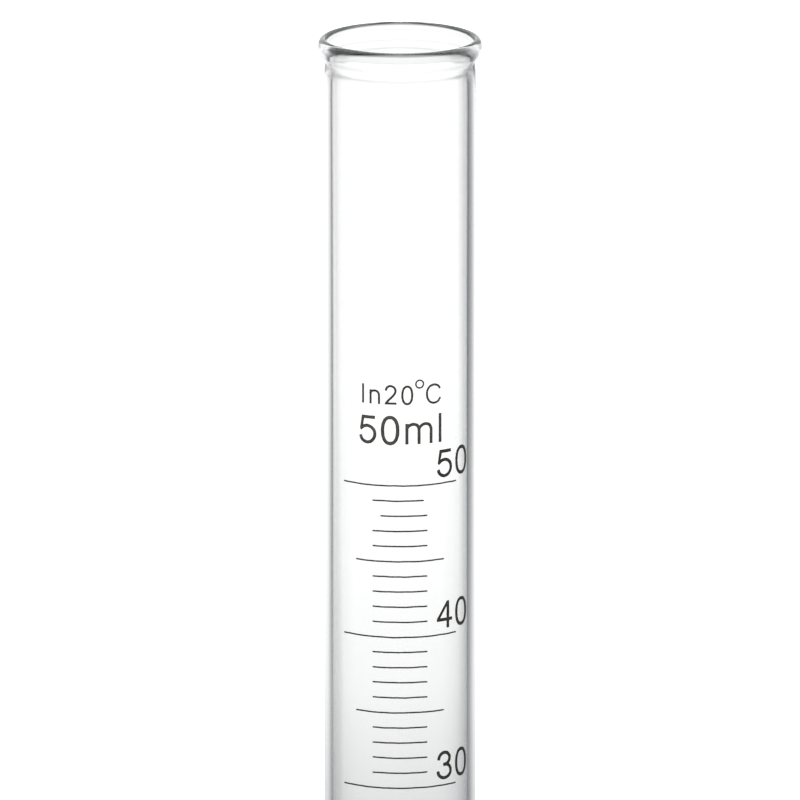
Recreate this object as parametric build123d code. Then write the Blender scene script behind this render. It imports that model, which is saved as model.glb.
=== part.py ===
from build123d import *
import os
from math import cos, hypot, pi, sin

# Graduated 50 ml test tube: a round-bottomed glass tube with a flared, rounded
# lip, and a volume scale, numerals and two legends in enamel on its outside.
# Millimetres.  +Z is up along the tube's axis, the origin is on the axis at the
# lowest point of the round bottom, and the scale faces -Y.  Arc lengths along
# the glass are measured from the scale's centre line towards +X.

# --- glass ---
tube_r = 12.5            # outer radius
wall = 1.37
bore_r = tube_r - wall
bottom_t = 1.5           # glass thickness at the lowest point
length = 206.5
lip_r = 13.55            # largest radius of the flared lip
lip_drop = 1.25          # from the crest down to the largest radius
crest_r = 12.68          # radius of the top of the rounded rim
neck_r = 12.43           # slight waist under the lip
flare_h = 6.5            # height over which the outside is flared
mouth_h = 6.2            # height over which the bore widens
mouth_edge = (11.98, 0.90)      # where rim and mouth meet: radius, drop below the crest
mouth_edge_dir = (-0.25, -1)    # direction of the profile there

# --- enamel ---
enamel_t = 0.04
prism_inset = 3.0        # glyph prisms start this far inside the tube's outer radius
prism_depth = 4.0
skin_margin = 2.0        # height of the enamel skin beyond that of its glyph

# --- scale ---
first_ml = 5
last_ml = 50
mark_h = 0.24
mark_half_angles = {10: 47.5, 5: 35.4, 1: 21.2}    # degrees, by interval in ml

# --- numerals ---
digit_h = 4.63           # height at which the digits are drawn
numeral_left = 6.35      # arc length to the numerals' left edge
numeral_lift = 1.03      # numeral baseline above its mark
digit_pitch = 3.86       # between the two digits' left edges
numeral_stroke = 0.55

# --- legends, with baselines above the 50 ml mark ---
capacity_base = 7.02
capacity_stroke = 0.52
capacity_scale = 4.68 / digit_h
temperature_base = 13.75
temperature_stroke = 0.355
temperature_scale = 3.24 / digit_h

# --- glyph curves ---
samples_per_span = 7     # dense points between two centreline points
thin_step = 3            # every third dense point shapes an edge spline


def surface_z(ml):
    """Height of the liquid surface; the round bottom raises it by a third of its radius."""
    return bottom_t + bore_r / 3.0 + ml * 1000.0 / (pi * bore_r ** 2)


# ------------------------------- glass tube --------------------------------
def lip_curve(stations, tangents):
    """A profile spline through stations of (radius, drop below the crest)."""
    return Spline([(r, length - drop) for r, drop in stations], tangents=tangents)


def make_glass_tube():
    bore_centre_z = bottom_t + bore_r
    outer_round = CenterArc((0, tube_r), tube_r, -90, 90)
    outer_wall = Line((tube_r, tube_r), (tube_r, length - flare_h))
    flare = lip_curve(
        [(tube_r, flare_h), (neck_r + 0.05, 5.4), (neck_r, 4.55), (12.47, 3.95),
         (12.70, 3.45), (13.08, 2.90), (13.36, 2.25), (lip_r, lip_drop)],
        [(0, 1), (0, 1)])
    outer_rim = lip_curve(
        [(lip_r, lip_drop), (13.39, 0.55), (13.14, 0.22), (crest_r, 0)],
        [(0, 1), (-1, 0)])
    inner_rim = lip_curve(
        [(crest_r, 0), (12.26, 0.21), (12.10, 0.50), mouth_edge],
        [(-1, 0), mouth_edge_dir])
    mouth = lip_curve(
        [mouth_edge, (11.70, 2.05), (11.50, 2.75), (11.30, 3.45),
         (11.17, 4.20), (bore_r + 0.006, 5.1), (bore_r, mouth_h)],
        [mouth_edge_dir, (0, -1)])
    inner_wall = Line((bore_r, length - mouth_h), (bore_r, bore_centre_z))
    inner_round = CenterArc((0, bore_centre_z), bore_r, 0, -90)
    axis_edge = Line((0, bottom_t), (0, 0))
    profile = make_face(Curve() + [outer_round, outer_wall, flare, outer_rim, inner_rim,
                                   mouth, inner_wall, inner_round, axis_edge])
    # turned so that the seam of the revolved faces lies at the back, away from the scale
    return Rot(0, 0, 90) * revolve(Plane.XZ * profile, axis=Axis.Z)


# ------------------------------- scale marks -------------------------------
def mark_interval(ml):
    """The largest of the 10, 5 and 1 ml intervals that this volume falls on."""
    return next(interval for interval in mark_half_angles if ml % interval == 0)


def make_mark(ml):
    """One thin band on the outside of the tube, centred on -Y."""
    half_angle = mark_half_angles[mark_interval(ml)]
    section = Pos(tube_r + enamel_t / 2, surface_z(ml)) * Rectangle(enamel_t, mark_h)
    band = revolve(Plane.XZ * section, axis=Axis.Z, revolution_arc=2 * half_angle)
    return Rot(0, 0, -90 - half_angle) * band


# ------------------------------ glyph strokes ------------------------------
# A glyph is drawn in its own (u, v) frame: u to the right from its left edge,
# v up from the baseline, in millimetres along the glass.  It is a list of
# strokes, each a face builder followed by the runs of points it takes.
def straight_face(outline, hole=None):
    face = make_face(Polyline(*outline, close=True))
    if hole:
        face = face - make_face(Polyline(*hole, close=True))
    return face


def oval_face(outer, inner):
    return (make_face(Spline(*outer, periodic=True))
            - make_face(Spline(*inner, periodic=True)))


def outline_face(*runs):
    """A face inside runs that are in turn smooth and straight."""
    return make_face(Curve() + [Polyline(*run) if i % 2 else Spline(*run)
                                for i, run in enumerate(runs)])


def blend(a, b, t_a, t_b, t):
    """The point at t on the line that is at a for t_a and at b for t_b."""
    return tuple((t_b - t) / (t_b - t_a) * p + (t - t_a) / (t_b - t_a) * q
                 for p, q in zip(a, b))


def smooth(points):
    """A centripetal cubic curve through the points, as a dense list."""
    def beyond(end, before):
        return (2 * end[0] - before[0], 2 * end[1] - before[1])

    padded = [beyond(points[0], points[1]), *points, beyond(points[-1], points[-2])]
    dense = []
    for i in range(len(points) - 1):
        p0, p1, p2, p3 = near = padded[i:i + 4]
        knots = [0.0]
        for a, b in zip(near, near[1:]):
            knots.append(knots[-1] + hypot(b[0] - a[0], b[1] - a[1]) ** 0.5)
        t0, t1, t2, t3 = knots
        for k in range(samples_per_span):
            t = t1 + (t2 - t1) * k / samples_per_span
            a1 = blend(p0, p1, t0, t1, t)
            a2 = blend(p1, p2, t1, t2, t)
            a3 = blend(p2, p3, t2, t3, t)
            b1 = blend(a1, a2, t0, t2, t)
            b2 = blend(a2, a3, t1, t3, t)
            dense.append(blend(b1, b2, t1, t2, t))
    return dense + [points[-1]]


def stroke_sides(centreline, stroke):
    """Dense edges to the left and right of travel along a smoothed centreline."""
    dense = smooth(centreline)
    left, right = [], []
    for i, (x, y) in enumerate(dense):
        a = dense[max(i - 1, 0)]
        b = dense[min(i + 1, len(dense) - 1)]
        dx, dy = b[0] - a[0], b[1] - a[1]
        distance = hypot(dx, dy)
        nx = -dy / distance * stroke / 2
        ny = dx / distance * stroke / 2
        left.append((x + nx, y + ny))
        right.append((x - nx, y - ny))
    return left, right


def thin(dense):
    """Every third point of a dense list, keeping both ends."""
    return dense[::thin_step] + ([dense[-1]] if (len(dense) - 1) % thin_step else [])


def curved(centreline, stroke):
    """A curved stroke with square ends."""
    left, right = map(thin, stroke_sides(centreline, stroke))
    return (outline_face, left, [left[-1], right[-1]], right, [right[0], left[0]])


def bar(u0, v0, u1, v1):
    return (straight_face, [(u0, v0), (u1, v0), (u1, v1), (u0, v1)])


def post(u_mid, height, stroke):
    """An upright bar standing on the baseline."""
    return bar(u_mid - stroke / 2, 0.0, u_mid + stroke / 2, height)


def ring(u_mid, v_mid, half_w, half_h, stroke, power=2.25, count=24):
    """A closed oval stroke; a power above 2 makes it squarer than an ellipse."""
    def oval(a, b, power):
        points = []
        for i in range(count):
            angle = 2 * pi * i / count
            c, s = cos(angle), sin(angle)
            points.append((u_mid + a * abs(c) ** (2 / power) * (1 if c >= 0 else -1),
                           v_mid + b * abs(s) ** (2 / power) * (1 if s >= 0 else -1)))
        return points

    return (oval_face, oval(half_w, half_h, power),
            oval(half_w - stroke, half_h - stroke, power + 0.1))


# ---------------------------- digits and letters ---------------------------
def digit_0(stroke):
    return [ring(1.53, 2.31, 1.53, 2.45, stroke + 0.02)]


def digit_1(stroke):
    stem = 1.62
    return [(straight_face,
             [(stem, 0.0), (stem + stroke, 0.0), (stem + stroke, digit_h), (1.74, digit_h),
              (0.78, 3.96), (0.78, 3.46), (stem, 4.02)])]


def digit_2(stroke):
    arm = [(0.29, 3.36), (0.62, 4.08), (1.42, 4.45), (2.26, 4.12), (2.63, 3.42),
           (2.42, 2.60), (1.74, 1.76), (0.96, 1.00), (0.30, 0.22)]
    foot = 0.95 * stroke
    left, right = stroke_sides(arm, stroke)
    # both edges stop short of the foot
    outer = [(u, v) for u, v in left if not (v < foot + 0.12 and u < 1.5)]
    inner = [(u, v) for u, v in right if not (v < 0.30 and u < 1.5)]
    # the outer edge runs on straight to the top of the foot
    (ua, va), (ub, vb) = outer[-4], outer[-1]
    crotch = (ub + (ub - ua) * (foot - vb) / (vb - va), foot)
    outer, inner = thin(outer), thin(inner)[::-1]
    base = [outer[-1], crotch, (2.86, foot), (2.86, 0.0), (0.03, 0.0), (0.03, 0.12), inner[0]]
    return [(outline_face, outer, base, inner, [inner[-1], outer[0]])]


def digit_3(stroke):
    upper = [(0.35, 3.27), (0.51, 3.88), (0.92, 4.33), (1.49, 4.50), (2.09, 4.34),
             (2.50, 3.90), (2.60, 3.47), (2.46, 2.98), (2.10, 2.62), (1.62, 2.475)]
    lower = [(1.60, 2.455), (2.08, 2.40), (2.58, 2.04), (2.81, 1.38), (2.63, 0.72),
             (2.13, 0.31), (1.48, 0.17), (0.84, 0.35), (0.38, 0.80), (0.21, 1.40)]
    waist = 2.465
    return [bar(1.25, waist - stroke / 2, 1.80, waist + stroke / 2),
            curved(upper, stroke), curved(lower, stroke)]


def digit_4(stroke):
    stem_left, bar_low = 1.93, 1.20
    stem_right, bar_high = stem_left + stroke, bar_low + stroke
    return [(straight_face,
             [(stem_left, 0), (stem_right, 0), (stem_right, bar_low), (3.14, bar_low),
              (3.14, bar_high), (stem_right, bar_high), (stem_right, 4.60), (1.97, 4.60),
              (0.0, bar_high - 0.05), (0.0, bar_low), (stem_left, bar_low)],
             [(stem_left, bar_high), (stem_left, 3.72), (0.62, bar_high)])]


def digit_5(stroke):
    bowl = [(0.30, 2.33), (0.72, 2.70), (1.45, 2.92), (2.20, 2.71), (2.70, 2.16),
            (2.81, 1.55), (2.66, 0.93), (2.18, 0.37), (1.46, 0.17), (0.82, 0.36),
            (0.41, 0.78), (0.25, 1.29)]
    left, right = stroke_sides(bowl, stroke)
    # the outer edge starts where the bowl leaves the stem
    outer = [(0.69, 2.93)] + thin([(u, v) for u, v in left if not (u < 0.80 and v > 2.0)])
    inner = thin(right)[::-1]
    stem_and_bar = [inner[-1], (0.33, 2.14), (0.14, 2.34), (0.50, digit_h), (2.84, digit_h),
                    (2.84, digit_h - stroke), (0.93, digit_h - stroke), outer[0]]
    return [(outline_face, outer, [outer[-1], inner[0]], inner, stem_and_bar)]


def letter_m(stroke):
    first_arch = [(0.20, 2.55), (0.62, 3.12), (1.28, 3.36), (1.93, 3.18), (2.27, 2.60),
                  (2.29, 2.0)]
    second_arch = [(2.25, 2.55), (2.72, 3.12), (3.40, 3.37), (4.05, 3.18), (4.38, 2.60),
                   (4.40, 2.0)]
    return [bar(0.0, 0.0, stroke, 3.46),
            curved(first_arch, stroke), post(2.29, 2.05, stroke),
            curved(second_arch, stroke), post(4.40, 2.05, stroke)]


def letter_n(stroke):
    arch = [(0.13, 1.78), (0.42, 2.12), (0.95, 2.23), (1.42, 2.04), (1.63, 1.62), (1.65, 1.2)]
    return [bar(0.0, 0.0, stroke, 2.36), curved(arch, stroke), post(1.65, 1.25, stroke)]


def letter_c(stroke):
    return [curved([(2.55, 2.36), (2.14, 2.90), (1.43, 3.10), (0.67, 2.87), (0.23, 2.26),
                    (0.14, 1.56), (0.27, 0.86), (0.71, 0.25), (1.43, 0.03), (2.14, 0.24),
                    (2.60, 0.86)], stroke)]


def adjusted(glyph, scale=1.0, shift=0.0):
    """The same glyph at another size, then shifted to the right."""
    return [(builder, *[[(u * scale + shift, v * scale) for u, v in run] for run in runs])
            for builder, *runs in glyph]


# ---------------------------- enamel on the glass --------------------------
def enamel_solids(glyph, left, baseline):
    """Enamel solids of a glyph whose own origin is at arc length left, height baseline."""
    points = [point for _, *runs in glyph for run in runs for point in run]
    us, vs = zip(*points)
    u_mid = (min(us) + max(us)) / 2

    # flat drawing, with arc lengths about the glyph's middle turned into chords
    flat = None
    for builder, *runs in glyph:
        face = builder(*[[(tube_r * sin((u - u_mid) / tube_r), v) for u, v in run]
                         for run in runs])
        flat = face if flat is None else flat + face

    azimuth = (left + u_mid) / tube_r
    outward = (sin(azimuth), -cos(azimuth), 0)
    plane = Plane(origin=(0, 0, 0), x_dir=(cos(azimuth), sin(azimuth), 0), z_dir=outward)
    prism = extrude(plane * Pos(0, baseline, tube_r - prism_inset) * flat,
                    amount=prism_depth, dir=outward)

    # only what lies within the enamel's thickness is kept
    skin_h = max(vs) - min(vs) + skin_margin
    skin = Pos(0, 0, baseline + (min(vs) + max(vs)) / 2) * (
        Cylinder(tube_r + enamel_t, skin_h) - Cylinder(tube_r, skin_h))
    skin = Rot(0, 0, 90) * skin    # seam at the back
    return (prism & skin).solids()


def make_numeral(ml, first_digit):
    glyph = (first_digit(numeral_stroke)
             + adjusted(digit_0(numeral_stroke), shift=digit_pitch))
    return enamel_solids(glyph, numeral_left, surface_z(ml) + numeral_lift)


def make_legend(entries, base):
    """Solids for entries of (glyph, left arc length, lift above the baseline)."""
    return [solid for glyph, left, lift in entries
            for solid in enamel_solids(glyph, left, surface_z(last_ml) + base + lift)]


def make_capacity_legend():
    """50 ml"""
    stroke = capacity_stroke
    return make_legend([
        (adjusted(digit_5(stroke), capacity_scale), -7.07, 0.0),
        (adjusted(digit_0(stroke + 0.02), capacity_scale), -3.19, 0.0),
        (letter_m(stroke - 0.02), 0.88, 0.0),
        ([bar(0.0, 0.0, stroke, 4.88)], 6.69, 0.0),
    ], capacity_base)


def make_temperature_legend():
    """In 20 °C"""
    stroke = temperature_stroke
    two = adjusted(digit_2(stroke / temperature_scale), temperature_scale)
    degree_r = 0.775
    degree = ring(degree_r, degree_r, degree_r, degree_r, 0.25, power=2.0)
    return make_legend([
        ([bar(0.0, 0.0, stroke, 3.25)], -6.52, 0.0),
        (letter_n(stroke), -5.15, 0.0),
        (two, -2.58, 0.0),
        ([ring(0.99, 1.55, 0.99, 1.65, stroke)], 0.21, 0.0),
        ([degree], 2.50, 2.60),
        (letter_c(stroke), 4.39, 0.0),
    ], temperature_base)


# --------------------------------- output ----------------------------------
def save(name, solids):
    if len(solids) == 1:
        body = solids[0]
    else:
        body = Compound(children=[Solid(solid.wrapped) for solid in solids])
    body.label = name
    export_step(body, f"parts/{name}.step")


os.makedirs("parts", exist_ok=True)
save("glass_tube", make_glass_tube().solids())
for interval in mark_half_angles:
    volumes = [ml for ml in range(first_ml, last_ml + 1) if mark_interval(ml) == interval]
    save(f"marks_{interval}ml", [solid for ml in volumes for solid in make_mark(ml).solids()])
for ml, first_digit in ((10, digit_1), (20, digit_2), (30, digit_3), (40, digit_4), (50, digit_5)):
    save(f"numeral_{ml}", make_numeral(ml, first_digit))
save("capacity_legend", make_capacity_legend())
save("temperature_legend", make_temperature_legend())
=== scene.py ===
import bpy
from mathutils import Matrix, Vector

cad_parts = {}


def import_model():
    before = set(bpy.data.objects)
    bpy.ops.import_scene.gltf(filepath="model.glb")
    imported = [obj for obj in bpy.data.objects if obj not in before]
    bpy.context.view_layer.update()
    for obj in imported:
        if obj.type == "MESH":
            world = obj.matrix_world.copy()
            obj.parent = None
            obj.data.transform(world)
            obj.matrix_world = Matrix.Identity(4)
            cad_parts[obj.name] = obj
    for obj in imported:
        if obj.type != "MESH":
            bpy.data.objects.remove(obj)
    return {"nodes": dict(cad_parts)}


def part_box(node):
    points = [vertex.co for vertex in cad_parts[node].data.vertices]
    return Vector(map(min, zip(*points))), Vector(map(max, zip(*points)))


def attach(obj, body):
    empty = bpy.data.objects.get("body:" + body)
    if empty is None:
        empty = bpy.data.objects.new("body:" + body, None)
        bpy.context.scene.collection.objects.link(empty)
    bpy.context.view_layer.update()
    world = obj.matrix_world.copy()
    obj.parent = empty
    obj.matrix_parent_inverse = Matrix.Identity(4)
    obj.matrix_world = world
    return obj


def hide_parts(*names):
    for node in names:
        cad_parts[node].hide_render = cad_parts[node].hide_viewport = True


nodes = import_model()["nodes"]

import math
import bpy
import bmesh
import numpy as np
from mathutils import Vector, noise

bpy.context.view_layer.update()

# ---------------------------------------------------------------- measures
# The tube and its print are worked out in millimetres and written in metres.
# The floor, camera and lights are given in metres.
MM = 0.001


def node_points(name):
    """Points in millimetres and triangles of a CAD node."""
    mesh = nodes[name].data
    coords = np.zeros(len(mesh.vertices) * 3)
    mesh.vertices.foreach_get("co", coords)
    mesh.calc_loop_triangles()
    triangles = np.zeros(len(mesh.loop_triangles) * 3, int)
    mesh.loop_triangles.foreach_get("vertices", triangles)
    return coords.reshape(-1, 3) / MM, triangles.reshape(-1, 3)


def radii(points):
    return np.hypot(points[:, 0], points[:, 1])


_, glass_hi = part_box("glass_tube")
LENGTH = glass_hi.z / MM
LIP_R = min(glass_hi.x, glass_hi.y) / MM   # largest radius, at the lip

cad_glass, _ = node_points("glass_tube")
cad_radii = radii(cad_glass)
# the straight barrel, clear of the round end and of the lip
in_barrel = (cad_glass[:, 2] > LENGTH * 0.055) & (cad_glass[:, 2] < LENGTH - 5.9)
R_OUT = float(np.max(cad_radii[in_barrel]))
R_IN = float(np.min(cad_radii[in_barrel]))
BOTTOM_T = float(np.max(cad_glass[cad_radii < 0.3][:, 2]))   # glass thickness on the axis
Z_INNER = BOTTOM_T + R_IN                                    # centre of the inside round

LINE_HALF = 0.12                           # half the height of a printed line
heights_10ml = np.sort(node_points("marks_10ml")[0][:, 2])
Z_10ML = heights_10ml[0] + LINE_HALF
Z_50ML = heights_10ml[-1] - LINE_HALF
PER_ML = (Z_50ML - Z_10ML) / 40.0


def scale_height(millilitres):
    return Z_50ML - (50 - millilitres) * PER_ML


# ---------------------------------------------------------------- objects
def link(ob):
    bpy.context.scene.collection.objects.link(ob)
    return ob


def smooth_object(name, mesh):
    mesh.polygons.foreach_set("use_smooth", [True] * len(mesh.polygons))
    mesh.update()
    return link(bpy.data.objects.new(name, mesh))


def mesh_object(name, verts, faces):
    mesh = bpy.data.meshes.new(name)
    mesh.from_pydata(verts, [], faces)
    mesh.validate()
    return smooth_object(name, mesh)


def fit_piece(ob, material, node):
    """Puts the finished piece in the place of its CAD node."""
    ob.data.materials.append(material)
    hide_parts(node)
    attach(ob, "root")


# ---------------------------------------------------------------- glass tube
AROUND = 288                               # segments round the tube
ROUND_STEPS = 48                           # steps in each quarter round of the end
WALL_STEPS = 61                            # steps along each straight wall
LIP_STEPS = 5                              # steps between two lip stations
OUTSIDE, INSIDE = 0, 1

# Lip stations: (radius, drop below the rim), outside going up, then inside going down
LIP_EDGE = LIP_R - 0.012
LIP_OUTSIDE = [
    (R_OUT, 6.5), (R_OUT - 0.028, 5.4), (R_OUT - 0.070, 4.55), (R_OUT - 0.030, 3.95),
    (R_OUT + 0.20, 3.45), (R_OUT + 0.58, 2.90), (LIP_EDGE - 0.20, 2.25),
    (LIP_EDGE - 0.025, 1.60), (LIP_EDGE - 0.034, 1.00), (LIP_EDGE - 0.17, 0.55),
    (LIP_EDGE - 0.42, 0.22), (LIP_EDGE - 0.74, 0.04)]
LIP_INSIDE = [
    (12.66, 0.012), (12.46, 0.06), (12.26, 0.22), (12.10, 0.50), (11.98, 0.90), (11.85, 1.45),
    (11.70, 2.05), (11.50, 2.75), (11.30, 3.45), (11.17, 4.20), (11.135, 5.1), (R_IN, 6.2)]

# Unevenness of the bore: (amplitude, lobes round the tube, phase, twist over the length)
BORE_WAVES = [(0.020, 2, 0.7, 2.1), (0.012, 3, 1.9, -3.0), (0.006, 7, 0.0, 9.0)]
BORE_OFFSET = -0.012
BORE_FULL_R = 6.0                          # the bore's waves fade out inside this radius
OUTER_WAVE = 0.004
LIP_FADE_DROP, LIP_FADE = 6.0, 4.5         # where the lip's unevenness starts, and its run
LIP_SAG = 0.030


def curve_through(points, steps):
    """Centripetal cubic curve through the points."""
    points = [np.array(p, float) for p in points]
    padded = [2 * points[0] - points[1]] + points + [2 * points[-1] - points[-2]]
    curve = []
    for i in range(1, len(padded) - 2):
        p0, p1, p2, p3 = padded[i - 1:i + 3]
        t0 = 0.0
        t1 = t0 + np.linalg.norm(p1 - p0) ** 0.5
        t2 = t1 + np.linalg.norm(p2 - p1) ** 0.5
        t3 = t2 + np.linalg.norm(p3 - p2) ** 0.5
        for k in range(steps):
            t = t1 + (t2 - t1) * k / steps
            a1 = (t1 - t) / (t1 - t0) * p0 + (t - t0) / (t1 - t0) * p1
            a2 = (t2 - t) / (t2 - t1) * p1 + (t - t1) / (t2 - t1) * p2
            a3 = (t3 - t) / (t3 - t2) * p2 + (t - t2) / (t3 - t2) * p3
            b1 = (t2 - t) / (t2 - t0) * a1 + (t - t0) / (t2 - t0) * a2
            b2 = (t3 - t) / (t3 - t1) * a2 + (t - t1) / (t3 - t1) * a3
            curve.append((t2 - t) / (t2 - t1) * b1 + (t - t1) / (t2 - t1) * b2)
    curve.append(points[-1])
    return curve


def straight_wall(radius, z_from, z_to, side):
    """The stations between the two ends of a wall, both ends left out."""
    return [(radius, z_from + (z_to - z_from) * i / WALL_STEPS, side)
            for i in range(1, WALL_STEPS)]


def glass_profile():
    """(radius, height, side) from the outside pole, up, over the lip and down."""
    quarter = range(ROUND_STEPS + 1)
    profile = []
    for i in quarter:
        angle = math.radians(-90 + 90 * i / ROUND_STEPS)
        profile.append((R_OUT * math.cos(angle), R_OUT + R_OUT * math.sin(angle), OUTSIDE))
    profile += straight_wall(R_OUT, R_OUT, LENGTH - LIP_OUTSIDE[0][1], OUTSIDE)

    stations = [(radius, LENGTH - drop) for radius, drop in LIP_OUTSIDE + LIP_INSIDE]
    crest = len(LIP_OUTSIDE) * LIP_STEPS
    for k, (radius, z) in enumerate(curve_through(stations, LIP_STEPS)):
        profile.append((radius, z, OUTSIDE if k < crest else INSIDE))

    profile += straight_wall(R_IN, LENGTH - LIP_INSIDE[-1][1], Z_INNER, INSIDE)
    for i in quarter:
        angle = math.radians(90 * i / ROUND_STEPS)
        profile.append((R_IN * math.cos(angle), Z_INNER - R_IN * math.sin(angle), INSIDE))
    return profile


def glass_point(radius, z, side, angle):
    """A point of the glass, with the unevenness of drawn tube and flame-turned lip."""
    up = z / LENGTH
    lip = max(0.0, min(1.0, (z - (LENGTH - LIP_FADE_DROP)) / LIP_FADE))
    if side == INSIDE:
        shift = sum(size * math.sin(lobes * angle + phase + twist * up)
                    for size, lobes, phase, twist in BORE_WAVES) + BORE_OFFSET
        shift *= min(1.0, radius / BORE_FULL_R)
        shift += 0.02 * lip * math.sin(3 * angle + 0.4)
    else:
        shift = OUTER_WAVE * (math.sin(5 * angle + 4.0 * up) - 1.0)
        shift += -0.022 * lip * (1 + math.sin(2 * angle + 0.9)) * 0.8
    sag = -LIP_SAG * lip * (1 + math.sin(2 * angle + 2.6) * 0.6 + math.sin(3 * angle) * 0.4)
    r = (radius + shift) * MM
    return (r * math.cos(angle), r * math.sin(angle), (z + sag) * MM)


def build_glass():
    verts, faces, rings = [], [], []
    for radius, z, side in glass_profile():
        start = len(verts)
        if radius < 1e-6:                  # a pole
            verts.append((0.0, 0.0, z * MM))
        else:
            verts += [glass_point(radius, z, side, 2 * math.pi * k / AROUND)
                      for k in range(AROUND)]
        rings.append(range(start, len(verts)))
    for a, b in zip(rings, rings[1:]):
        for k in range(AROUND):
            after = (k + 1) % AROUND
            if len(a) == 1:
                faces.append((a[0], b[after], b[k]))
            elif len(b) == 1:
                faces.append((a[k], a[after], b[0]))
            else:
                faces.append((a[k], a[after], b[after], b[k]))
    ob = mesh_object("tube_glass", verts, faces)
    bm = bmesh.new()
    bm.from_mesh(ob.data)
    bmesh.ops.recalc_face_normals(bm, faces=bm.faces)
    bm.to_mesh(ob.data)
    bm.free()
    return ob


# ---------------------------------------------------------------- fired enamel
# The print is worked out unrolled: s runs round the barrel from -Y towards +X.
COAT_T = 0.030                             # full thickness of the coat
COAT_ROUND = 0.035                         # how quickly the edge rises to it
EDGE_SINK = 0.001                          # the rim of the coat, below the glass surface
UNDERSIDE_SINK = 0.020
SPREAD = 0.004                             # how far the enamel spreads past its outline
MERGE_PER_MM = 2000                        # outline points are merged on this grid
GRID_PAD = 3
RAGGED_BAND = 0.25                         # the outline is ragged within this distance
CUT_REACH = 0.3                            # how near its height a cut line must be
EDGE_KEEP = 0.04                           # keeps edge points off the grid points

# How each kind of print is laid: grid steps along s and z, raggedness of the edge and
# how far it strays up and down
LINE_PRINT = dict(s_step=0.07, z_step=0.034, rough=0.020, wander=0.055)
FIGURE_PRINT = dict(s_step=0.05, z_step=0.05, rough=0.028)
SMALL_PRINT = dict(s_step=0.045, z_step=0.045, rough=0.020)

# Two lines printed short: (height, angle of the cut, 1 to cut beyond it or -1 before it)
SHORT_LINES = [(scale_height(49), 18.3, 1), (scale_height(48), -15.0, -1)]


def outlines(node):
    """The outside face of every enamel deposit of a CAD node, unrolled.

    Returns one array of (s, z) segments for each separate deposit."""
    coords, triangles = node_points(node)
    outer = radii(coords) > R_OUT + 0.028
    face = triangles[outer[triangles].all(axis=1)]
    s = np.arctan2(coords[:, 0], -coords[:, 1]) * R_OUT
    index_of = {}
    merged = np.zeros(len(coords), int)
    for i in np.unique(face):
        place = (round(s[i] * MERGE_PER_MM), round(coords[i, 2] * MERGE_PER_MM))
        merged[i] = index_of.setdefault(place, len(index_of))
    points = np.array(list(index_of)) / MERGE_PER_MM
    edge_uses = {}
    parent = list(range(len(points)))

    def root(i):
        while parent[i] != i:
            parent[i] = parent[parent[i]]
            i = parent[i]
        return i

    for a, b, c in merged[face]:
        if a == b or b == c or a == c:
            continue
        for start, end in ((a, b), (b, c), (c, a)):
            edge = (min(start, end), max(start, end))
            edge_uses[edge] = edge_uses.get(edge, 0) + 1
            parent[root(start)] = root(end)
    # an edge used by one triangle only lies on an outline
    groups = {}
    for (start, end), uses in edge_uses.items():
        if uses == 1:
            groups.setdefault(root(start), []).append((points[start], points[end]))
    return [np.array(group) for group in groups.values()]


def signed_distance(px, py, segments):
    """Distance to the outline, negative inside, for arrays of points."""
    nearest = np.full(px.shape, 1e9)
    inside = np.zeros(px.shape, bool)
    for (ax, ay), (bx, by) in segments:
        dx, dy = bx - ax, by - ay
        t = np.clip(((px - ax) * dx + (py - ay) * dy) / (dx * dx + dy * dy + 1e-18), 0, 1)
        nearest = np.minimum(nearest, np.hypot(px - ax - t * dx, py - ay - t * dy))
        crossed = (ay > py) != (by > py)
        if crossed.any():
            inside ^= crossed & (px < ax + (py - ay) / dy * dx)
    return np.where(inside, -nearest, nearest)


def noise_at(s, z, scale, layer):
    return noise.noise(Vector((s * scale, z * scale, layer)))


def centred_steps(low, high, step):
    """Evenly spaced values about the middle, reaching past both ends."""
    count = int(math.ceil((high - low) / step)) + 2 * GRID_PAD + 1
    return (low + high) / 2 + (np.arange(count) - (count - 1) / 2) * step


def coat_field(segments, s_step, z_step, rough, wander, cuts):
    """Grids of s, z and signed distance to the ragged edge of one deposit."""
    s_low, z_low = segments.min(axis=(0, 1))
    s_high, z_high = segments.max(axis=(0, 1))
    s_values = centred_steps(s_low, s_high, s_step)
    z_values = centred_steps(z_low, z_high, z_step)
    s_grid, z_grid = np.meshgrid(s_values, z_values, indexing="ij")
    stray = np.array([noise.noise(Vector((s * 0.55, z_low * 1.7, 3.0))) * wander
                      for s in s_values])
    field = signed_distance(s_grid, z_grid + stray[:, None], segments)
    ragged = np.zeros_like(field)
    for i, j in zip(*np.nonzero(np.abs(field) < RAGGED_BAND)):
        s, z = s_grid[i, j], z_grid[i, j]
        ragged[i, j] = noise_at(s, z, 3.1, 11.0) + noise_at(s, z, 9.0, 5.0) * 0.55
    ragged *= rough
    field = field + ragged - SPREAD
    for height, angle, side in cuts:
        if abs((z_low + z_high) / 2 - height) < CUT_REACH:
            cut = side * (s_grid - math.radians(angle) * R_OUT)
            field = np.maximum(field, cut + ragged)
    field[0, :] = field[-1, :] = 1.0
    field[:, 0] = field[:, -1] = 1.0
    return s_grid, z_grid, field


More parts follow.
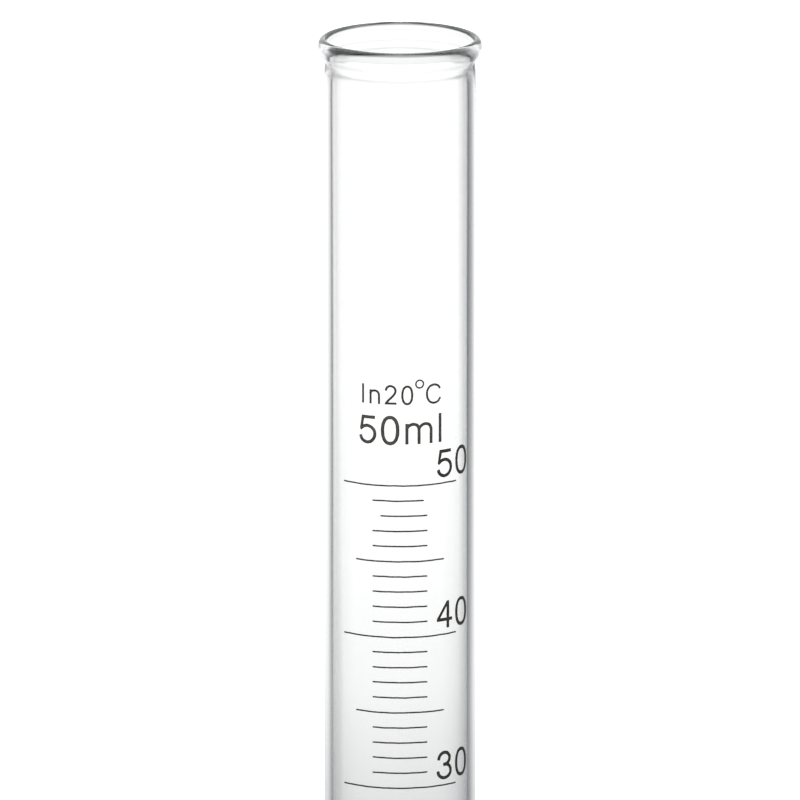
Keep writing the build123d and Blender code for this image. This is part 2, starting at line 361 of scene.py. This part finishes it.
def add_deposit(s_grid, z_grid, field, verts, faces, depth):
    """Adds one deposit: a thin coat with a rounded edge, its underside in the glass."""
    inside = field < 0
    placed = {}

    def add_pair(s, z, radius, inset):
        """A point of the top and, next in the list, the one beneath it."""
        angle = s / R_OUT
        for r, d in ((radius, inset), (R_OUT - UNDERSIDE_SINK, 0.0)):
            verts.append((r * MM * math.sin(angle), -r * MM * math.cos(angle), z * MM))
            depth.append(d)
        return len(verts) - 2

    def grid_point(cell):
        if cell not in placed:
            s, z, inset = s_grid[cell], z_grid[cell], -field[cell]
            rise = 1 - math.exp(-inset / COAT_ROUND)
            height = -EDGE_SINK + (COAT_T + EDGE_SINK) * rise
            height += 0.0022 * noise_at(s, z, 6, 1.0)
            placed[cell] = add_pair(s, z, R_OUT + height, inset)
        return placed[cell]

    def edge_point(cell, other):
        ends = a, b = tuple(sorted((cell, other)))
        if ends not in placed:
            t = field[a] / (field[a] - field[b])
            t = min(max(t, EDGE_KEEP), 1 - EDGE_KEEP)
            s = s_grid[a] + (s_grid[b] - s_grid[a]) * t
            z = z_grid[a] + (z_grid[b] - z_grid[a]) * t
            placed[ends] = add_pair(s, z, R_OUT - EDGE_SINK, 0.0)
        return placed[ends]

    cells = inside[:-1, :-1] | inside[1:, :-1] | inside[1:, 1:] | inside[:-1, 1:]
    for i, j in zip(*np.nonzero(cells)):
        corners = [(i, j), (i + 1, j), (i + 1, j + 1), (i, j + 1)]
        loop, kinds = [], []
        for corner, following in zip(corners, corners[1:] + corners[:1]):
            if inside[corner]:
                loop.append(grid_point(corner))
                kinds.append("grid")
            if inside[corner] != inside[following]:
                loop.append(edge_point(corner, following))
                kinds.append("leaves" if inside[corner] else "returns")
        faces.append(tuple(loop))
        faces.append(tuple(v + 1 for v in reversed(loop)))
        for q in range(len(loop)):
            after = (q + 1) % len(loop)
            if kinds[q] == "leaves" and kinds[after] == "returns":
                a, b = loop[q], loop[after]
                faces.append((b, a, a + 1, b + 1))


def print_enamel(node, material, s_step, z_step, rough, wander=0.0, cuts=()):
    verts, faces, depth = [], [], []
    # from the top down, then along s
    for segments in sorted(outlines(node),
                           key=lambda g: (-g[:, :, 1].mean(), g[:, :, 0].mean())):
        grids = coat_field(segments, s_step, z_step, rough, wander, cuts)
        add_deposit(*grids, verts, faces, depth)
    name = "print_" + node
    mesh = bpy.data.meshes.new(name)
    mesh.from_pydata(verts, [], faces)
    # how far inside its own outline each point of the coat lies, in millimetres
    coat = mesh.attributes.new("coat", "FLOAT", "POINT")
    coat.data.foreach_set("value", depth)
    fit_piece(smooth_object(name, mesh), material, node)


# ---------------------------------------------------------------- shader nodes
def add_node(tree, kind, inputs=None, **settings):
    """A shader node; each input is given a value, or a socket to be linked to it."""
    node = tree.nodes.new("ShaderNode" + kind)
    for name, value in settings.items():
        setattr(node, name, value)
    for name, value in (inputs or {}).items():
        if isinstance(value, bpy.types.NodeSocket):
            tree.links.new(value, node.inputs[name])
        else:
            node.inputs[name].default_value = value
    return node


def math_node(tree, operation, *values):
    return add_node(tree, "Math", dict(enumerate(values)), operation=operation).outputs[0]


def noise_node(tree, vector, scale, detail=2.0):
    inputs = {"Vector": vector, "Scale": scale, "Detail": detail}
    return add_node(tree, "TexNoise", inputs).outputs["Fac"]


def mix_colours(tree, factor, a, b, **settings):
    inputs = {"Factor": factor, "A": a, "B": b}
    return add_node(tree, "Mix", inputs, data_type="RGBA", **settings).outputs["Result"]


def map_range(tree, value, **limits):
    """Limits are named from_min, from_max, to_min and to_max."""
    inputs = {name.replace("_", " ").title(): limit for name, limit in limits.items()}
    return add_node(tree, "MapRange", {"Value": value, **inputs}).outputs["Result"]


def bump_node(tree, height, strength, distance):
    inputs = {"Strength": strength, "Distance": distance, "Height": height}
    return add_node(tree, "Bump", inputs).outputs["Normal"]


def colour_ramp(tree, factor, stops, interpolation="LINEAR"):
    """Ramp through (position, (red, green, blue)) stops."""
    node = add_node(tree, "ValToRGB", {"Fac": factor})
    ramp = node.color_ramp
    ramp.interpolation = interpolation
    ramp.elements.remove(ramp.elements[-1])
    first = ramp.elements[0]
    first.position = stops[0][0]
    first.color = (*stops[0][1], 1)
    for position, colour in stops[1:]:
        ramp.elements.new(position).color = (*colour, 1)
    return node.outputs["Color"]


def new_material(name):
    material = bpy.data.materials.new(name)
    material.use_nodes = True
    material.node_tree.nodes.clear()
    return material, material.node_tree


# ---------------------------------------------------------------- materials
# Strength of the painted glow that stands in for light caught in the wall, by |x| of the
# direction from the axis:
# painted shade, least on the slants between the middle of the lip and its two ends
PAINTED_GLOW_BY_SIDE = [(0.0, 1.2), (0.14, 1.0), (0.29, 0.50), (0.44, 0.26), (0.57, 0.32),
                  (0.69, 0.90), (1.0, 1.0)]


def painted_wall_glow(tree, coords):
    """Painted glow: emission standing in for light caught in the wall, uneven round the tube.
    """
    flat = add_node(tree, "VectorMath", {0: coords, 1: (1.0, 1.0, 0.0)}, operation="MULTIPLY")
    around = add_node(tree, "VectorMath", {0: flat.outputs[0]},
                      operation="NORMALIZE").outputs[0]
    glow_streak = noise_node(tree, around, scale=2.6, detail=4.0)
    # colour of the painted glow, a faintly green grey
    shade = colour_ramp(tree, glow_streak, [(0.33, (0.080, 0.088, 0.080)),
                                       (0.68, (0.330, 0.345, 0.325))])
    x_part = add_node(tree, "SeparateXYZ", {0: around}).outputs["X"]
    # painted shade: strength of the glow by side
    strength = colour_ramp(tree, math_node(tree, "ABSOLUTE", x_part),
                           [(position, (v, v, v)) for position, v in PAINTED_GLOW_BY_SIDE],
                           interpolation="EASE")
    return add_node(tree, "Emission", {"Color": shade, "Strength": strength}).outputs[0]


def glass_material():
    material, tree = new_material("borosilicate_glass")
    coords = add_node(tree, "TexCoord").outputs["Object"]
    # draw lines run the whole length of the tube, so the pattern is stretched along it
    stretched = add_node(tree, "Mapping", {"Vector": coords, "Scale": (260.0, 260.0, 6.0)})
    draw = noise_node(tree, stretched.outputs["Vector"], scale=1.0)
    # handling haze: a trace of roughness in soft patches
    haze = noise_node(tree, coords, scale=38.0, detail=4.0)
    glass = add_node(tree, "BsdfPrincipled", {
        "Transmission Weight": 1.0,
        "IOR": 1.473,
        "Normal": bump_node(tree, draw, strength=0.10, distance=0.00002),
        "Roughness": map_range(tree, haze, from_min=0.45, from_max=0.80,
                               to_min=0.0, to_max=0.012),
        "Base Color": mix_colours(tree, draw, (1.0, 1.0, 1.0, 1), (0.992, 0.9945, 0.996, 1)),
    })
    # light caught in the wall runs down it by total reflection; after this many
    # bounces it is ended with a painted glow, the faintly green grey it ends up with
    ray_depth = add_node(tree, "LightPath").outputs["Ray Depth"]
    surface = add_node(tree, "MixShader", {
        "Fac": math_node(tree, "GREATER_THAN", ray_depth, 12.0),
        1: glass.outputs["BSDF"],
        # painted glow in place of the deeper rays
        2: painted_wall_glow(tree, coords),
    })
    absorption = add_node(tree, "VolumeAbsorption", {"Color": (0.86, 0.93, 0.97, 1),
                                                     "Density": 5.0})
    add_node(tree, "OutputMaterial", {"Surface": surface.outputs[0],
                                      "Volume": absorption.outputs["Volume"]})
    return material


def enamel_material(name, edge_rgb, core_rgb, thin, thick):
    """Edge and core colours, multiplied by thin or thick where the coat is uneven."""
    material, tree = new_material(name)
    coords = add_node(tree, "TexCoord").outputs["Object"]
    cloud = noise_node(tree, coords, scale=900.0, detail=3.0)
    grain = noise_node(tree, coords, scale=9000.0)
    # the coat draws up darker along its edges and is thinner and greyer inside
    coat = add_node(tree, "Attribute", attribute_name="coat").outputs["Fac"]
    to_core = map_range(tree, coat, from_min=0.07, from_max=0.20)
    colour = mix_colours(tree, to_core, (*edge_rgb, 1), (*core_rgb, 1))
    wear = colour_ramp(tree, cloud, [(0.30, (thick, thick, thick * 0.97)),
                                     (0.72, (thin, thin, thin * 0.98))])
    enamel = add_node(tree, "BsdfPrincipled", {
        "Base Color": mix_colours(tree, 1.0, colour, wear, blend_type="MULTIPLY"),
        "Roughness": 0.42,                 # stands only if the grain is unlinked
        "IOR": 1.52,
        "Normal": bump_node(tree, grain, strength=0.35, distance=0.000006),
    })
    tree.links.new(map_range(tree, grain, to_min=0.34, to_max=0.55),
                   enamel.inputs["Roughness"])
    add_node(tree, "OutputMaterial", {"Surface": enamel.outputs["BSDF"]})
    return material


def floor_material():
    """Pale floor that only the camera sees; all other rays pass through it."""
    material, tree = new_material("pale_floor")
    coords = add_node(tree, "TexCoord").outputs["Object"]
    colour = mix_colours(tree, noise_node(tree, coords, scale=3.0),
                         (0.80, 0.80, 0.80, 1), (0.84, 0.84, 0.84, 1))
    diffuse = add_node(tree, "BsdfDiffuse", {"Color": colour})
    # the glow rises with distance from the tube, in metres
    distance = add_node(tree, "VectorMath", {0: coords}, operation="LENGTH").outputs["Value"]
    glow = add_node(tree, "Emission", {
        "Strength": map_range(tree, distance, from_min=0.15, from_max=0.90,
                              to_min=0.30, to_max=0.60)})
    lit = add_node(tree, "AddShader", {0: diffuse.outputs[0], 1: glow.outputs[0]})
    surface = add_node(tree, "MixShader", {
        "Fac": add_node(tree, "LightPath").outputs["Is Camera Ray"],
        1: add_node(tree, "BsdfTransparent").outputs[0],
        2: lit.outputs[0],
    })
    add_node(tree, "OutputMaterial", {"Surface": surface.outputs[0]})
    return material


glass = glass_material()
# the lines and the legends are printed thinner than the figures beside the scale
line_enamel = enamel_material(
    "fired_enamel_lines", edge_rgb=(0.020, 0.019, 0.0135),
    core_rgb=(0.062, 0.0605, 0.051), thin=1.18, thick=0.72)
legend_enamel = enamel_material(
    "fired_enamel_legend", edge_rgb=(0.022, 0.021, 0.0155),
    core_rgb=(0.078, 0.076, 0.066), thin=1.22, thick=0.64)
figure_enamel = enamel_material(
    "fired_enamel_figures", edge_rgb=(0.014, 0.0135, 0.0105),
    core_rgb=(0.045, 0.044, 0.037), thin=1.25, thick=0.58)

# ---------------------------------------------------------------- build
fit_piece(build_glass(), glass, "glass_tube")
print_enamel("marks_10ml", line_enamel, **LINE_PRINT)
print_enamel("marks_5ml", line_enamel, **LINE_PRINT)
print_enamel("marks_1ml", line_enamel, **LINE_PRINT, cuts=SHORT_LINES)
for millilitres in (10, 20, 30, 40, 50):
    print_enamel(f"numeral_{millilitres}", figure_enamel, **FIGURE_PRINT)
print_enamel("capacity_legend", legend_enamel, **FIGURE_PRINT)
print_enamel("temperature_legend", legend_enamel, **SMALL_PRINT)

# ---------------------------------------------------------------- floor
FLOOR_Z = -0.0001
FLOOR_AROUND = 64
FLOOR_RINGS = [0.02, 0.05, 0.1, 0.2, 0.4, 0.8, 1.6, 3.2, 6.4, 12.8, 30.0]   # radii


def build_floor():
    """A disc of rings about the tube's axis."""
    verts = []
    for radius in FLOOR_RINGS:
        for k in range(FLOOR_AROUND):
            angle = 2 * math.pi * k / FLOOR_AROUND
            verts.append((radius * math.cos(angle), radius * math.sin(angle), FLOOR_Z))
    centre = len(verts)
    verts.append((0, 0, FLOOR_Z))
    faces = [(centre, k, (k + 1) % FLOOR_AROUND) for k in range(FLOOR_AROUND)]
    for i in range(len(FLOOR_RINGS) - 1):
        inner, outer = i * FLOOR_AROUND, (i + 1) * FLOOR_AROUND
        for k in range(FLOOR_AROUND):
            after = (k + 1) % FLOOR_AROUND
            faces.append((inner + k, outer + k, outer + after, inner + after))
    floor = mesh_object("studio_floor", verts, faces)
    floor.data.materials.append(floor_material())


build_floor()

# ---------------------------------------------------------------- camera
RIM = LENGTH * MM
CAMERA_DISTANCE = 2.40                     # from the tube's axis, along -Y
CAMERA_RISE = math.radians(11.8)           # above the rim
AIM_DROP = 0.0612                          # aimed this far below the rim
VIEW_WIDTH = 0.1325                        # width framed at the tube, before the zoom
ZOOM = 1.030
SENSOR = 36.0


def look_at(ob, target):
    ob.rotation_euler = (target - ob.location).to_track_quat("-Z", "Y").to_euler()


scene = bpy.context.scene
camera_data = bpy.data.cameras.new("camera")
camera_data.sensor_width = SENSOR
camera_data.lens = SENSOR * CAMERA_DISTANCE / VIEW_WIDTH * ZOOM
camera_data.clip_start = 0.05
camera_data.clip_end = 80.0
camera = link(bpy.data.objects.new("camera", camera_data))
camera.location = (0.0, -CAMERA_DISTANCE, RIM + CAMERA_DISTANCE * math.tan(CAMERA_RISE))
look_at(camera, Vector((0.0, 0.0, RIM - AIM_DROP)))
scene.camera = camera
# half of the camera's angle of view, in degrees
HALF_VIEW = math.degrees(math.atan(camera_data.sensor_width / 2 / camera_data.lens))

# ---------------------------------------------------------------- light
# A bright field behind the glass and dark flanks beside it, the usual way to
# draw the edges of clear glass. The field is a cylinder of light about the
# upright axis that turns with the camera, so the glass is lit the same way from
# every side. Diffuse rays see plain white and the camera a brighter white.

# Brightness round the axis: (degrees right of straight ahead, brightness)
UPPER_FIELD = [
    (-180, 0.14), (-110, 0.16), (-106, 1.1), (-102, 1.1), (-98, 0.20), (-60, 0.20),
    (-57, 0.30), (-54, 0.74), (-50, 0.72), (-46, 0.17), (-42, 0.18), (-38, 0.48),
    (-34, 0.84), (-30, 1.00), (-24, 1.04), (-18, 1.02), (-14, 1.24), (10, 1.24),
    (14, 1.07), (18, 0.76), (22, 0.62), (26, 0.56), (30, 0.45), (34, 0.38), (38, 0.25),
    (42, 0.13), (46, 0.24), (50, 0.56), (54, 0.56), (58, 0.20), (100, 0.20), (180, 0.14)]
MIDDLE_FIELD = [
    (-180, 0.14), (-58, 0.15), (-54, 0.17), (-50, 0.13), (-46, 0.23), (-42, 0.42),
    (-38, 0.50), (-34, 0.64), (-30, 0.79), (-26, 0.88), (-14, 0.90), (-10, 1.08),
    (2, 1.08), (10, 0.98), (14, 0.82), (18, 0.74), (22, 0.67), (26, 0.62), (30, 0.53),
    (34, 0.46), (38, 0.40), (42, 0.35), (46, 0.04), (56, 0.03), (64, 0.12), (180, 0.14)]
LOWER_FIELD = [
    (-180, 0.14), (-58, 0.10), (-54, 0.02), (-50, 0.05), (-46, 0.20), (-42, 0.37),
    (-38, 0.42), (-34, 0.51), (-30, 0.62), (-26, 0.68), (-22, 0.72), (-14, 0.72),
    (-10, 0.84), (-4, 0.885), (2, 0.875), (10, 0.78), (14, 0.66), (18, 0.60), (22, 0.58),
    (26, 0.54), (30, 0.45), (34, 0.40), (38, 0.34), (42, 0.30), (46, 0.05), (56, 0.02),
    (64, 0.09), (180, 0.14)]
# Shares of the middle and lower fields: (degrees above the line of sight, share)
TO_MIDDLE = [(-22.0, 0.6), (-6.0, 1.0), (-0.71 * HALF_VIEW, 1.0), (-0.39 * HALF_VIEW, 0.45),
             (0.07 * HALF_VIEW, 0.0), (1.0, 0.0)]
TO_LOWER = [(-9.0, 0.0), (-3.2 * HALF_VIEW, 0.0), (-1.9 * HALF_VIEW, 0.06),
            (-1.25 * HALF_VIEW, 0.42), (-1.06 * HALF_VIEW, 0.80), (-HALF_VIEW, 1.0),
            (-0.71 * HALF_VIEW, 0.0), (1.0, 0.0)]
# Brightness up and down: (degrees above the line of sight, brightness). Dark underneath,
# darkest on the left and lightest in the middle, with a soft light overhead.
LEFT_HEIGHTS = [
    (-90, 0.01), (-25, 0.01), (-20, 0.05), (-17, 0.24), (-14, 0.85), (-12, 1.0), (9, 1.0),
    (12, 0.80), (16, 0.80), (19, 1.0), (34, 0.90), (46, 0.22), (58, 0.10), (64, 1.6),
    (90, 2.0)]
MIDDLE_HEIGHTS = [
    (-90, 0.24), (-50, 0.28), (-31, 0.40), (-25, 0.50), (-20, 0.76), (-16, 1.0), (9, 1.0),
    (12, 0.82), (16, 0.82), (19, 1.0), (34, 0.90), (46, 0.22), (58, 0.10), (64, 1.6),
    (90, 2.0)]
RIGHT_HEIGHTS = [
    (-90, 0.16), (-50, 0.18), (-31, 0.22), (-22, 0.42), (-16, 1.0), (20, 1.0),
    (34, 0.90), (46, 0.30), (58, 0.14), (64, 1.6), (90, 2.0)]
# Shares of the middle and right heights: (degrees right of straight ahead, share)
FROM_LEFT = [(-180, 1.0), (-90, 0.0), (-19, 0.0), (-4, 1.0), (180, 1.0)]
TO_RIGHT = [(-180, 0.3), (-90, 0.0), (6, 0.0), (26, 1.0), (120, 1.0), (180, 0.3)]


def build_world():
    world = bpy.data.worlds.new("bright_field")
    scene.world = world
    world.use_nodes = True
    tree = world.node_tree
    tree.nodes.clear()

    def calc(operation, *values):
        return math_node(tree, operation, *values)

    def curve_of(value, stops):
        """Look-up of an angle in degrees through (degrees, brightness) stops."""
        low, high = stops[0][0], stops[-1][0]
        top = max(brightness for _, brightness in stops)
        factor = calc("DIVIDE", calc("SUBTRACT", value, low), high - low)
        scaled = [((degrees - low) / (high - low), (brightness / top,) * 3)
                  for degrees, brightness in stops]
        return calc("MULTIPLY", colour_ramp(tree, factor, scaled), top)

    def blend_of(a, b, share):
        """a where share is 0, b where it is 1."""
        return calc("MULTIPLY_ADD", calc("SUBTRACT", b, a), share, a)

    coords = add_node(tree, "TexCoord").outputs["Camera"]
    unit = add_node(tree, "VectorMath", {0: coords}, operation="NORMALIZE")
    ray = add_node(tree, "SeparateXYZ", {0: unit.outputs["Vector"]}).outputs
    # the upright axis as the camera sees it
    axis = add_node(tree, "VectorTransform", {0: (0.0, 0.0, 1.0)}, vector_type="VECTOR",
                    convert_from="WORLD", convert_to="CAMERA")
    up = add_node(tree, "SeparateXYZ", {0: axis.outputs[0]}).outputs
    along = calc("ADD", calc("MULTIPLY", ray["Y"], up["Y"]),
                 calc("MULTIPLY", ray["Z"], up["Z"]))
    ahead = calc("SUBTRACT", calc("MULTIPLY", ray["Z"], up["Y"]),
                 calc("MULTIPLY", ray["Y"], up["Z"]))
    turn = calc("DEGREES", calc("ARCTAN2", ray["X"], ahead))
    rise = calc("DEGREES", calc("SUBTRACT", calc("ARCSINE", along),
                                calc("ARCSINE", up["Z"])))

    upper_part = blend_of(curve_of(turn, UPPER_FIELD), curve_of(turn, MIDDLE_FIELD),
                          curve_of(rise, TO_MIDDLE))
    across = blend_of(upper_part, curve_of(turn, LOWER_FIELD), curve_of(rise, TO_LOWER))
    left_part = blend_of(curve_of(rise, LEFT_HEIGHTS), curve_of(rise, MIDDLE_HEIGHTS),
                         curve_of(turn, FROM_LEFT))
    tall = blend_of(left_part, curve_of(rise, RIGHT_HEIGHTS), curve_of(turn, TO_RIGHT))
    field = calc("MULTIPLY", across, tall)
    path = add_node(tree, "LightPath").outputs
    value = blend_of(blend_of(field, 1.0, path["Is Diffuse Ray"]), 1.3,
                     path["Is Camera Ray"])
    # the dimmer parts of the field are a shade cooler
    colour = colour_ramp(tree, value, [(0.25, (0.955, 0.970, 1.0)), (0.95, (1.0, 1.0, 0.998))])
    background = add_node(tree, "Background", {"Color": colour, "Strength": value})
    add_node(tree, "OutputWorld", {"Surface": background.outputs[0]})
    world.cycles.sampling_method = "NONE"


def build_key_light():
    """Soft square light above and to the left, on the camera's side."""
    light = bpy.data.lights.new("soft_key", "AREA")
    light.shape = "RECTANGLE"
    light.size = 0.7
    light.size_y = 0.7
    light.energy = 2.0
    ob = link(bpy.data.objects.new("soft_key", light))
    ob.location = (-0.35, -0.25, 1.0)
    look_at(ob, Vector((0, 0, 0.08)))
    ob.visible_camera = False
    ob.visible_transmission = False
    ob.visible_glossy = False


build_world()
build_key_light()

# ---------------------------------------------------------------- render
scene.view_settings.view_transform = "Standard"
scene.view_settings.look = "None"
scene.cycles.max_bounces = 32
scene.cycles.transmission_bounces = 32
scene.cycles.glossy_bounces = 24
scene.cycles.diffuse_bounces = 4
scene.cycles.transparent_max_bounces = 32
